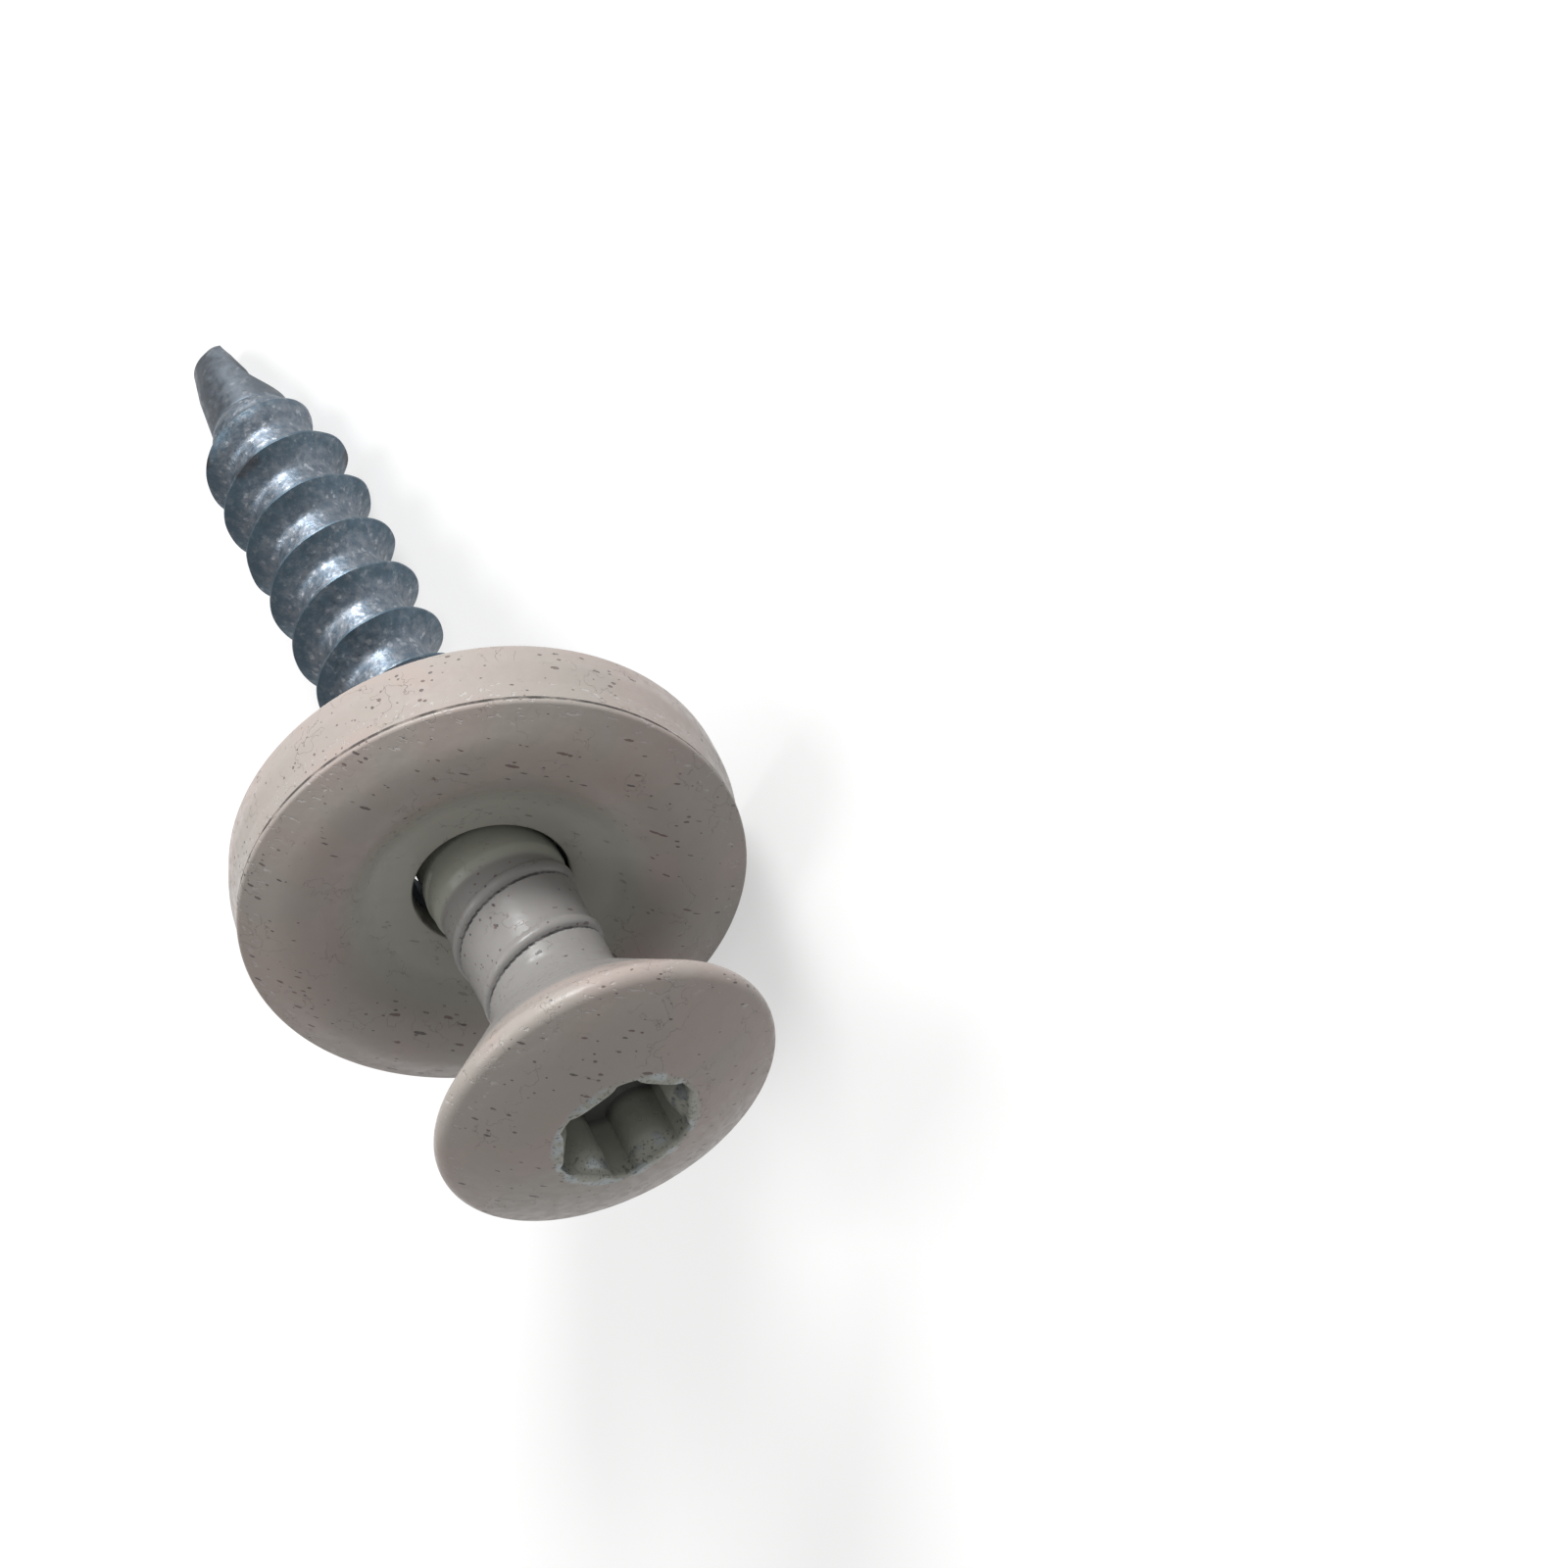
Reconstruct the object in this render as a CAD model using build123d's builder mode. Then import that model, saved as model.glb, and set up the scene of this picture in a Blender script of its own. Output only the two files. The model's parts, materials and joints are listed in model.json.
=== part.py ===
"""Self-drilling roofing screw with a loose sealing washer, lying at rest.

The screw is one forged and rolled piece: a raised countersunk head with a six-lobe
recess, a neck with a low supporting thread, a coarse main thread and a fluted drill
point. A pressed metal washer hangs loose on the neck, and a rubber gasket is bonded
under it. The screw lies on the last full crest of its thread and on the gasket's edge.

Row frame: +Z up, +X from the point towards the head, the origin on the ground in the
middle of the box. Lengths are in millimetres and angles in degrees.
"""

import math
import os

from build123d import *

# Screw: lengths are measured along its axis from the plane of the head's rim
screw_length = 35.0
thread_diameter = 5.0
root_diameter = 3.3
thread_pitch = 2.215
thread_top = 12.4
thread_full_top = 13.3
thread_full_bottom = 29.2
thread_crest_width = 0.08
thread_flank_to_head = 0.72
thread_flank_to_tip = 0.45
thread_phase = 10.07

# Head
head_diameter = 11.0
rim_thickness = 0.5
rim_rounding = 0.22
dome_height = 1.75
countersink_angle = 90.0
neck_fillet = 1.6
recess_point_diameter = 4.5
recess_flat_diameter = 3.24
recess_valley_radius = 0.92
recess_lobe_radius = 0.3
recess_depth = 2.6
recess_cone_depth = 0.7
recess_turn = -4.0

# Neck, with the low supporting thread under the head
neck_diameter = 4.2
ridge_height = 0.14
ridge_pitch = 1.1
ridge_length = 0.8
ridge_top = 4.7
ridge_turns = 1.9

# Drill point
drill_length = 3.9
drill_diameter = 2.9
chisel_width = 1.0
point_shoulder = 0.4
chisel_height = 0.3
flute_radius = 1.25
flute_web = 0.8
flute_tilt = 9.0
flute_turn = 62.0

# Washer: heights are measured from the gasket's sealing face
washer_diameter = 16.0
washer_hole_diameter = 4.95
washer_seam_height = 1.95
washer_edge_height = 0.65
metal_thickness = 0.8
crown_diameter = 12.4
crown_height = 3.5
step_diameter = 9.0
step_height = 2.65
hole_edge_height = 2.3
shoulder_rounding = 0.75
crown_rounding = 0.9
step_rounding = 1.4

# Gasket
gasket_bore_diameter = 5.9
gasket_bulge = 0.15
gasket_edge_inset = 0.1
gasket_edge_rounding = 0.3
seal_band_width = 1.7
seal_recess_depth = 0.2
bore_recess_depth = 0.45

# How the washer hangs on the neck
washer_station = 9.25
washer_lean = 13.1
washer_play = 0.08

# Small overlap by which a rolled thread is rooted in its core
thread_rooting = 0.12

head_radius = head_diameter / 2
neck_radius = neck_diameter / 2
root_radius = root_diameter / 2
thread_radius = thread_diameter / 2
drill_radius = drill_diameter / 2
washer_radius = washer_diameter / 2
hole_radius = washer_hole_diameter / 2
gasket_radius = washer_radius - gasket_edge_inset
hole_middle_height = hole_edge_height - metal_thickness / 2


def lowest_crest():
    """Distance along the axis of the last full crest on the side that faces the ground."""
    turns = math.floor((thread_full_bottom - thread_phase) / thread_pitch - 0.5)
    return thread_phase + (turns + 0.5) * thread_pitch


def resting_angle():
    """Rise of the screw's axis when that crest and the gasket's edge are both on the ground."""
    lean = math.radians(washer_lean)
    edge_rise = hole_middle_height - gasket_edge_rounding
    edge_reach = gasket_radius - gasket_edge_rounding
    along = lowest_crest() - washer_station - edge_rise * math.cos(lean) + edge_reach * math.sin(lean)
    across = thread_radius + washer_play - edge_rise * math.sin(lean) - edge_reach * math.cos(lean)
    bearing = math.asin(gasket_edge_rounding / math.hypot(along, across))
    return bearing - math.atan2(across, along)


def resting_reach(angle):
    """Lowest and highest X of the screw about the middle of its rim plane."""
    dome_radius = (head_radius**2 + dome_height**2) / (2 * dome_height)
    low = -screw_length * math.cos(angle) - chisel_width / 2 * math.sin(angle)
    high = dome_radius - (dome_radius - dome_height) * math.cos(angle)
    return low, high


rest_angle = resting_angle()
reach_low, reach_high = resting_reach(rest_angle)
axis_direction = Vector(math.cos(rest_angle), 0, math.sin(rest_angle))
upper_side = Vector(-math.sin(rest_angle), 0, math.cos(rest_angle))
head_centre = Vector(
    -(reach_low + reach_high) / 2,
    0,
    lowest_crest() * math.sin(rest_angle) + thread_radius * math.cos(rest_angle),
)

screw_frame = Plane(origin=head_centre, x_dir=upper_side, z_dir=axis_direction)
screw_section = Plane(origin=head_centre, x_dir=upper_side, z_dir=-screw_frame.y_dir)
screw_axis = Axis(head_centre, axis_direction)

washer_normal = axis_direction.rotate(Axis.Y, -washer_lean)
washer_up = upper_side.rotate(Axis.Y, -washer_lean)
hole_centre = screw_frame.from_local_coords((washer_play, 0, -washer_station))
washer_centre = hole_centre - washer_normal * hole_middle_height
washer_section = Plane(origin=washer_centre, x_dir=washer_up, z_dir=washer_up.cross(washer_normal))
washer_axis = Axis(washer_centre, washer_normal)


def helix_start(height_on_upper_side, pitch):
    """Height at which a helix starts, so that it crosses the upper side at the given height."""
    helix_plane = Plane(origin=head_centre, z_dir=axis_direction)
    start_angle = upper_side.get_signed_angle(helix_plane.x_dir, axis_direction)
    return height_on_upper_side + pitch * start_angle / 360


def helix_profile_plane(path, height):
    """Plane through the screw's axis at the start of a helix: x outwards, y towards the head."""
    foot = head_centre + axis_direction * height
    outwards = (path @ 0 - foot).normalized()
    return Plane(origin=foot, x_dir=outwards, z_dir=outwards.cross(axis_direction))


# Main thread: a sharp crest swept down the root, run out at both ends by its envelope
low_turns = math.ceil((screw_length - drill_length - thread_phase) / thread_pitch)
thread_low = -thread_phase - low_turns * thread_pitch
main_start = helix_start(thread_low, thread_pitch)
with BuildPart() as main_thread:
    with BuildLine() as main_path:
        Helix(
            pitch=thread_pitch,
            height=-thread_top - main_start + thread_pitch / 2,
            radius=root_radius,
            center=head_centre + axis_direction * main_start,
            direction=axis_direction,
        )
    with BuildSketch(helix_profile_plane(main_path.edge(), main_start)):
        with BuildLine():
            Polyline(
                (root_radius - thread_rooting, -thread_flank_to_tip),
                (thread_radius, -thread_crest_width / 2),
                (thread_radius, thread_crest_width / 2),
                (root_radius - thread_rooting, thread_flank_to_head),
                close=True,
            )
        make_face()
    sweep(path=main_path.line, is_frenet=True)
    with BuildSketch(screw_section):
        with BuildLine():
            Polyline(
                (0, -screw_length + drill_length - thread_rooting),
                (root_radius - thread_rooting / 2, -screw_length + drill_length - thread_rooting),
                (thread_radius + thread_rooting, -thread_full_bottom),
                (thread_radius + thread_rooting, -thread_full_top),
                (neck_radius - thread_rooting / 2, -thread_top),
                (0, -thread_top),
                close=True,
            )
        make_face()
    revolve(axis=screw_axis, mode=Mode.INTERSECT)

# Supporting thread: a low ridge, steep on the side of the point
ridge_start = helix_start(-ridge_top - ridge_turns * ridge_pitch, ridge_pitch)
with BuildPart() as neck_ridge:
    with BuildLine() as ridge_path:
        Helix(
            pitch=ridge_pitch,
            height=ridge_turns * ridge_pitch,
            radius=neck_radius,
            center=head_centre + axis_direction * ridge_start,
            direction=axis_direction,
        )
    with BuildSketch(helix_profile_plane(ridge_path.edge(), ridge_start)):
        with BuildLine():
            Polyline(
                (neck_radius - thread_rooting, -ridge_height),
                (neck_radius + ridge_height, 0),
                (neck_radius + ridge_height, ridge_height),
                (neck_radius - thread_rooting, ridge_length),
                close=True,
            )
        make_face()
    sweep(path=ridge_path.line, is_frenet=True)

# Screw: threaded root first, then the turned head and neck, the supporting thread and the point
cone_drop = (head_radius - neck_radius) / math.tan(math.radians(countersink_angle / 2))
drill_top = -screw_length + drill_length
rim_top = rim_thickness / 2
with BuildPart() as screw:
    with BuildSketch(screw_frame.offset(drill_top + point_shoulder)):
        Circle(root_radius)
    extrude(amount=-thread_top - drill_top - point_shoulder)
    add(main_thread.part)
    with BuildSketch(screw_section):
        with BuildLine():
            ThreePointArc(
                (0, dome_height),
                (head_radius / 2, dome_height - (dome_height - rim_top) * 0.26),
                (head_radius, rim_top),
            )
            FilletPolyline(
                (head_radius, rim_top),
                (head_radius, -rim_top),
                (neck_radius, -rim_top - cone_drop),
                (neck_radius, -thread_top),
                radius=(rim_rounding, neck_fillet),
            )
            Polyline(
                (neck_radius, -thread_top),
                (root_radius, -thread_full_top),
                (0, -thread_full_top),
                (0, dome_height),
            )
        make_face()
    revolve(axis=screw_axis)
    add(neck_ridge.part)
    with BuildSketch(screw_section):
        with BuildLine():
            Polyline(
                (0, drill_top + point_shoulder),
                (root_radius, drill_top + point_shoulder),
                (drill_radius, drill_top),
            )
            point_side = ThreePointArc(
                (drill_radius, drill_top),
                ((drill_radius + chisel_width) / 2, drill_top - drill_length / 2),
                (chisel_width / 2, -screw_length + chisel_height),
            )
            Polyline(
                point_side @ 1,
                (chisel_width / 2, -screw_length),
                (0, -screw_length),
                (0, drill_top + point_shoulder),
            )
        make_face()
    revolve(axis=screw_axis)

    # Six-lobe recess with a shallow cone at its bottom
    with BuildSketch(screw_frame.offset(dome_height)) as recess:
        Circle(recess_point_diameter / 2)
        with PolarLocations(recess_flat_diameter / 2 + recess_valley_radius, 6, start_angle=recess_turn + 30):
            Circle(recess_valley_radius, mode=Mode.SUBTRACT)
        fillet(recess.vertices(), recess_lobe_radius)
    extrude(amount=-recess_depth, mode=Mode.SUBTRACT)
    with BuildSketch(screw_section):
        with BuildLine():
            Polyline(
                (0, dome_height - recess_depth),
                (recess_flat_diameter / 2, dome_height - recess_depth),
                (0, dome_height - recess_depth - recess_cone_depth),
                close=True,
            )
        make_face()
    revolve(axis=screw_axis, mode=Mode.SUBTRACT)

    # Two round flutes, opposite each other, that run out at the top of the drill point
    for turn in (flute_turn, flute_turn + 180):
        side = upper_side.rotate(screw_axis, turn)
        tangent = axis_direction.cross(side)
        run = axis_direction.rotate(Axis(head_centre, side), flute_tilt)
        reach = flute_radius + flute_web / 2
        flute_end = head_centre + axis_direction * (drill_top - flute_radius) + side * reach
        flute_foot = flute_end - run * drill_length
        with BuildSketch(Plane(origin=flute_foot, x_dir=side, z_dir=run)):
            Circle(flute_radius)
        extrude(amount=drill_length, mode=Mode.SUBTRACT)
        with Locations(flute_end):
            Sphere(flute_radius, mode=Mode.SUBTRACT)
screw.part.label = "screw"


def washer_underside():
    """Underside of the pressed metal, from its outer edge in to the hole."""
    return FilletPolyline(
        (washer_radius, washer_seam_height),
        (crown_diameter / 2 + metal_thickness, washer_seam_height),
        (crown_diameter / 2, crown_height - metal_thickness),
        (step_diameter / 2, step_height - metal_thickness),
        (hole_radius, hole_edge_height - metal_thickness),
        radius=(crown_rounding / 2, crown_rounding, step_rounding),
    )


# Metal washer: a pressed dish with a round crown, a soft step and a hole in the middle
with BuildPart() as metal_washer:
    with BuildSketch(washer_section):
        with BuildLine():
            underside = washer_underside()
            Line(underside @ 1, (hole_radius, hole_edge_height))
            FilletPolyline(
                (hole_radius, hole_edge_height),
                (step_diameter / 2, step_height),
                (crown_diameter / 2 - crown_rounding / 2, crown_height),
                (crown_diameter / 2 + crown_rounding / 2, crown_height),
                (washer_radius, washer_seam_height + washer_edge_height),
                (washer_radius, washer_seam_height),
                radius=(step_rounding, crown_rounding, crown_rounding, shoulder_rounding),
            )
        make_face()
    revolve(axis=washer_axis)
metal_washer.part.label = "metal_washer"

# Sealing gasket: bonded under the metal, with a flat sealing band and a recessed middle
bore_radius = gasket_bore_diameter / 2
band_radius = gasket_radius - seal_band_width
with BuildPart() as sealing_gasket:
    with BuildSketch(washer_section):
        with BuildLine():
            underside = washer_underside()
            ThreePointArc(
                (washer_radius, washer_seam_height),
                (gasket_radius + gasket_bulge, (washer_seam_height + gasket_edge_rounding) / 2),
                (gasket_radius, gasket_edge_rounding),
            )
            edge = RadiusArc(
                (gasket_radius, gasket_edge_rounding),
                (gasket_radius - gasket_edge_rounding, 0),
                gasket_edge_rounding,
            )
            Polyline(
                edge @ 1,
                (band_radius, 0),
                (band_radius - seal_recess_depth, seal_recess_depth),
                (bore_radius, seal_recess_depth + bore_recess_depth),
                (hole_radius, seal_recess_depth + bore_recess_depth),
                underside @ 1,
            )
        make_face()
    revolve(axis=washer_axis)
    with BuildSketch(Plane(origin=washer_centre, x_dir=washer_up, z_dir=washer_normal)):
        Circle(bore_radius)
    extrude(amount=crown_height, mode=Mode.SUBTRACT)
sealing_gasket.part.label = "sealing_gasket"

os.makedirs("parts", exist_ok=True)
export_step(screw.part, "parts/screw.step")
export_step(metal_washer.part, "parts/metal_washer.step")
export_step(sealing_gasket.part, "parts/sealing_gasket.step")
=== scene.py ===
"""Looks of a painted roofing screw with its loose sealing washer, lying at rest.

The screw, the pressed washer and the rubber gasket are modelled upright about the
Z axis, with the head at the top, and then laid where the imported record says.
Sizes are in millimetres until a piece is made, and the scene itself is in metres.
"""

import json
import logging
import math
from dataclasses import dataclass
from enum import Enum
from typing import Callable, Sequence

import bmesh
import bpy
from mathutils import Matrix, Vector, noise


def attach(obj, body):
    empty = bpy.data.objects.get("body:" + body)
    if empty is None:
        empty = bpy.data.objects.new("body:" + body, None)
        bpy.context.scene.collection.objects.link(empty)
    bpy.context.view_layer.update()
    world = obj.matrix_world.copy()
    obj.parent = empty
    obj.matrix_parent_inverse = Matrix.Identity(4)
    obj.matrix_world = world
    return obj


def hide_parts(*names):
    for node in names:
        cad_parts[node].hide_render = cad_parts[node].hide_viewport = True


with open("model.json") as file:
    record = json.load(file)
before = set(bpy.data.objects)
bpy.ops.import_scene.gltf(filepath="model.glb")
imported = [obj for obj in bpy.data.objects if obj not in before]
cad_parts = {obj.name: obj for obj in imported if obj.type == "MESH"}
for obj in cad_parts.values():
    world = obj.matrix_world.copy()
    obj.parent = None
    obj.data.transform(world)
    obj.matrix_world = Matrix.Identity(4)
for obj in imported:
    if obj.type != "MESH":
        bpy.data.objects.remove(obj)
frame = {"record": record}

log = logging.getLogger("roofing_screw")

MM = 0.001
FULL_TURN = 2 * math.pi
WELD = 2e-7
Point = tuple[float, float]
Triple = tuple[float, float, float]
Colour = tuple[float, float, float, float]
Socket = bpy.types.NodeSocket


class Slot(Enum):
    """The record's material slots."""

    SCREW = "zinc_and_paint"
    WASHER = "washer_paint"
    GASKET = "gasket_rubber"


class Keep(Enum):
    """Which side of a cut across the axis stays."""

    ABOVE = 1
    BELOW = 2


def deselect_everything() -> None:
    """Leaves edit mode and clears the selection."""
    if bpy.context.object and bpy.context.object.mode != "OBJECT":
        bpy.ops.object.mode_set(mode="OBJECT")
    bpy.ops.object.select_all(action="DESELECT")


def take_up(piece: bpy.types.Object) -> None:
    """Makes a piece the only selected and active one.

    Args:
        piece: The object to work on.
    """
    deselect_everything()
    piece.select_set(True)
    bpy.context.view_layer.objects.active = piece


def name_new_piece(name: str) -> bpy.types.Object:
    """Names the primitive that was just added.

    Args:
        name: The piece's name.

    Returns:
        The new object.
    """
    piece = bpy.context.active_object
    piece.name = name
    piece.data.name = name
    return piece


def rounded_outline(corners: Sequence[Point], radii: dict[int, float], arc_steps: int = 10) -> list[Point]:
    """Rounds chosen corners of an open outline with tangent arcs.

    Args:
        corners: The outline's corners as radius and height, in millimetres.
        radii: The rounding of each corner that has one, by its place in the outline.
        arc_steps: Number of short runs in each arc.

    Returns:
        The outline with its arcs as short runs.
    """
    outline = [corners[0]]
    for place in range(1, len(corners) - 1):
        corner = Vector(corners[place])
        before = Vector(corners[place - 1]) - corner
        after = Vector(corners[place + 1]) - corner
        if place not in radii:
            outline.append(tuple(corner))
            continue
        half = before.angle(after) / 2
        back_off = radii[place] / math.tan(half)
        start = corner + before.normalized() * back_off
        end = corner + after.normalized() * back_off
        inwards = (before.normalized() + after.normalized()).normalized()
        middle = corner + inwards * (radii[place] / math.sin(half))
        first = start - middle
        sweep = first.angle_signed(end - middle)
        for step in range(arc_steps + 1):
            turned = first.copy()
            turned.rotate(Matrix.Rotation(-sweep * step / arc_steps, 2))
            outline.append(tuple(middle + turned))
    outline.append(corners[-1])
    return outline


def divided_outline(outline: Sequence[Point], longest: float) -> list[Point]:
    """Divides the long runs of an outline.

    Args:
        outline: Radius and height of each point, in millimetres.
        longest: The longest run that may stay, in millimetres.

    Returns:
        The outline with its long runs divided evenly.
    """
    divided = [outline[0]]
    for start, end in zip(outline, outline[1:]):
        parts = max(1, math.ceil(math.dist(start, end) / longest))
        for part in range(1, parts + 1):
            share = part / parts
            divided.append(
                (start[0] + (end[0] - start[0]) * share, start[1] + (end[1] - start[1]) * share)
            )
    return divided


def draw_outline(name: str, outline: Sequence[Point]) -> bpy.types.Object:
    """Draws an outline in the XZ plane by extruding one vertex along it.

    Args:
        name: The piece's name.
        outline: Radius and height of each point, in millimetres.

    Returns:
        The piece, left in edit mode.
    """
    deselect_everything()
    bpy.ops.mesh.primitive_plane_add(size=MM)
    piece = name_new_piece(name)
    bpy.ops.object.mode_set(mode="EDIT")
    bpy.ops.mesh.select_mode(type="VERT")
    bpy.ops.mesh.select_all(action="SELECT")
    bpy.ops.mesh.merge(type="CENTER")
    here = (0.0, 0.0)
    for place, point in enumerate(outline):
        move = ((point[0] - here[0]) * MM, 0, (point[1] - here[1]) * MM)
        if place:
            bpy.ops.mesh.extrude_vertices_move(TRANSFORM_OT_translate={"value": move})
        else:
            bpy.ops.transform.translate(value=move)
        here = point
    return piece


def weld_and_face_out() -> None:
    """Merges doubles and turns all faces outwards, in edit mode."""
    bpy.ops.mesh.select_all(action="SELECT")
    bpy.ops.mesh.remove_doubles(threshold=WELD)
    bpy.ops.mesh.normals_make_consistent(inside=False)


def apply_modifiers(piece: bpy.types.Object) -> None:
    """Applies each modifier of a piece in turn."""
    take_up(piece)
    for modifier in list(piece.modifiers):
        bpy.ops.object.modifier_apply(modifier=modifier.name)


def select_open_loops() -> None:
    """Selects the open edges of the mesh in edit mode."""
    bpy.ops.mesh.select_mode(type="EDGE")
    bpy.ops.mesh.select_all(action="DESELECT")
    mesh = bpy.context.active_object.data
    shape = bmesh.from_edit_mesh(mesh)
    for edge in shape.edges:
        edge.select_set(edge.is_boundary)
    bmesh.update_edit_mesh(mesh)


def shape_ring(radius_at: Callable[[float], float], height_at: Callable[[float], float]) -> None:
    """Moves the selected ring of vertices to a radius and height, each by its own bearing.

    Args:
        radius_at: Radius in millimetres for a bearing about the axis, in radians.
        height_at: Height in millimetres for that bearing.
    """
    mesh = bpy.context.active_object.data
    shape = bmesh.from_edit_mesh(mesh)
    for vertex in shape.verts:
        if vertex.select:
            bearing = math.atan2(vertex.co.y, vertex.co.x)
            radius = radius_at(bearing) * MM
            vertex.co = (
                radius * math.cos(bearing),
                radius * math.sin(bearing),
                height_at(bearing) * MM,
            )
    bmesh.update_edit_mesh(mesh)


def raise_ring(radius_at: Callable[[float], float], height_at: Callable[[float], float]) -> None:
    """Extrudes the selected ring and shapes the new one."""
    bpy.ops.mesh.extrude_edges_move()
    shape_ring(radius_at, height_at)


def cut_across(height: float, keep: Keep) -> None:
    """Cuts the mesh in edit mode across the axis.

    Args:
        height: Where the cut is, in millimetres.
        keep: The side that stays.
    """
    bpy.ops.mesh.select_all(action="SELECT")
    bpy.ops.mesh.bisect(
        plane_co=(0, 0, height * MM),
        plane_no=(0, 0, 1),
        clear_inner=keep is Keep.ABOVE,
        clear_outer=keep is Keep.BELOW,
        threshold=WELD,
    )


def subtract(piece: bpy.types.Object, cutter: bpy.types.Object) -> None:
    """Cuts one closed shape out of another and removes the cutter.

    Args:
        piece: The piece that is cut.
        cutter: The shape that is taken out of it.
    """
    take_up(piece)
    cut = piece.modifiers.new("cut", "BOOLEAN")
    cut.operation = "DIFFERENCE"
    cut.solver = "MANIFOLD"
    cut.object = cutter
    bpy.ops.object.modifier_apply(modifier=cut.name)
    bpy.data.objects.remove(cutter)


@dataclass(frozen=True)
class Seat:
    """Where an upright piece is laid: its axis, the side that lies on top, and its origin."""

    axis: Vector
    upper: Vector
    origin: Vector

    def matrix(self) -> Matrix:
        """Returns the move from the upright piece to its place, both in metres."""
        across = self.axis.cross(self.upper)
        turn = Matrix((self.upper, across, self.axis)).transposed()
        return Matrix.Translation(self.origin) @ turn.to_4x4()

    def lay(self, piece: bpy.types.Object, body: str, node: str, slot: Slot) -> None:
        """Lays a finished piece in its place and hangs it on its body.

        Args:
            piece: The upright piece.
            body: The body that carries it.
            node: The solid that it stands for.
            slot: The record's material slot; not used.
        """
        take_up(piece)
        piece.data.materials.clear()
        piece.matrix_world = self.matrix()
        bpy.ops.object.transform_apply(location=True, rotation=True, scale=True)
        bpy.ops.object.shade_smooth_by_angle(angle=math.radians(38))
        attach(piece, body)
        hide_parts(node)


def seats_from_record(record: dict, dome_height: float, band_middle: float) -> tuple[Seat, Seat]:
    """Works out where the screw and the washer lie from the record's own directions.

    Args:
        record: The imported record.
        dome_height: Height of the drive's face above the rim plane, in millimetres.
        band_middle: Radius of the middle of the sealing band, in millimetres.

    Returns:
        The screw's seat, at the middle of the rim plane, and the washer's, at its sealing plane.
    """
    mounts = {mount["name"]: mount for mount in record["mounts"]}
    axis = Vector(mounts["drive"]["axis"]).normalized()
    head = Vector(mounts["drive"]["pos_m"]) - axis * dome_height * MM
    normal = -Vector(mounts["seal_face"]["axis"]).normalized()
    side = Vector((0, 1, 0))
    washer_up = side.cross(normal) * -1
    washer = Vector(mounts["seal_face"]["pos_m"]) - washer_up * band_middle * MM
    return Seat(axis, side.cross(axis) * -1, head), Seat(normal, washer_up, washer)


@dataclass(frozen=True)
class SixLobeRecess:
    """The drive recess in the head: six round lobes with round valleys between them."""

    point_diameter: float = 4.5
    flat_diameter: float = 3.24
    valley_radius: float = 0.92
    lobe_softness: float = 0.3
    depth: float = 2.6
    cone_depth: float = 0.7
    turn: float = math.radians(-4)
    lip: float = 0.16
    lead_in: float = 0.7
    mouth_softness: float = 0.62

    def wall(self, bearing: float, below_mouth: float = 9.0) -> float:
        """Radius of the recess's wall, whose valleys are worn and coated shallow at the mouth.

        Args:
            bearing: Direction about the axis, in radians.
            below_mouth: Distance below the mouth, in millimetres.

        Returns:
            The radius in millimetres.
        """
        sixth = FULL_TURN / 6
        off_lobe = (bearing - self.turn + sixth / 2) % sixth - sixth / 2
        off_valley = sixth / 2 - abs(off_lobe)
        middle = self.flat_diameter / 2 + self.valley_radius
        side = middle * math.sin(off_valley)
        valley = middle * math.cos(off_valley)
        if side < self.valley_radius:
            valley -= math.sqrt(self.valley_radius**2 - side**2)
        else:
            valley += (side - self.valley_radius) * 3
        point = self.point_diameter / 2
        near = max(self.lobe_softness - abs(point - valley), 0) / self.lobe_softness
        sharp = min(point, valley) - near**2 * self.lobe_softness / 4
        soften = self.mouth_softness * max(0, 1 - below_mouth / self.lead_in)
        return sharp + (point * 0.985 - sharp) * soften


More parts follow.
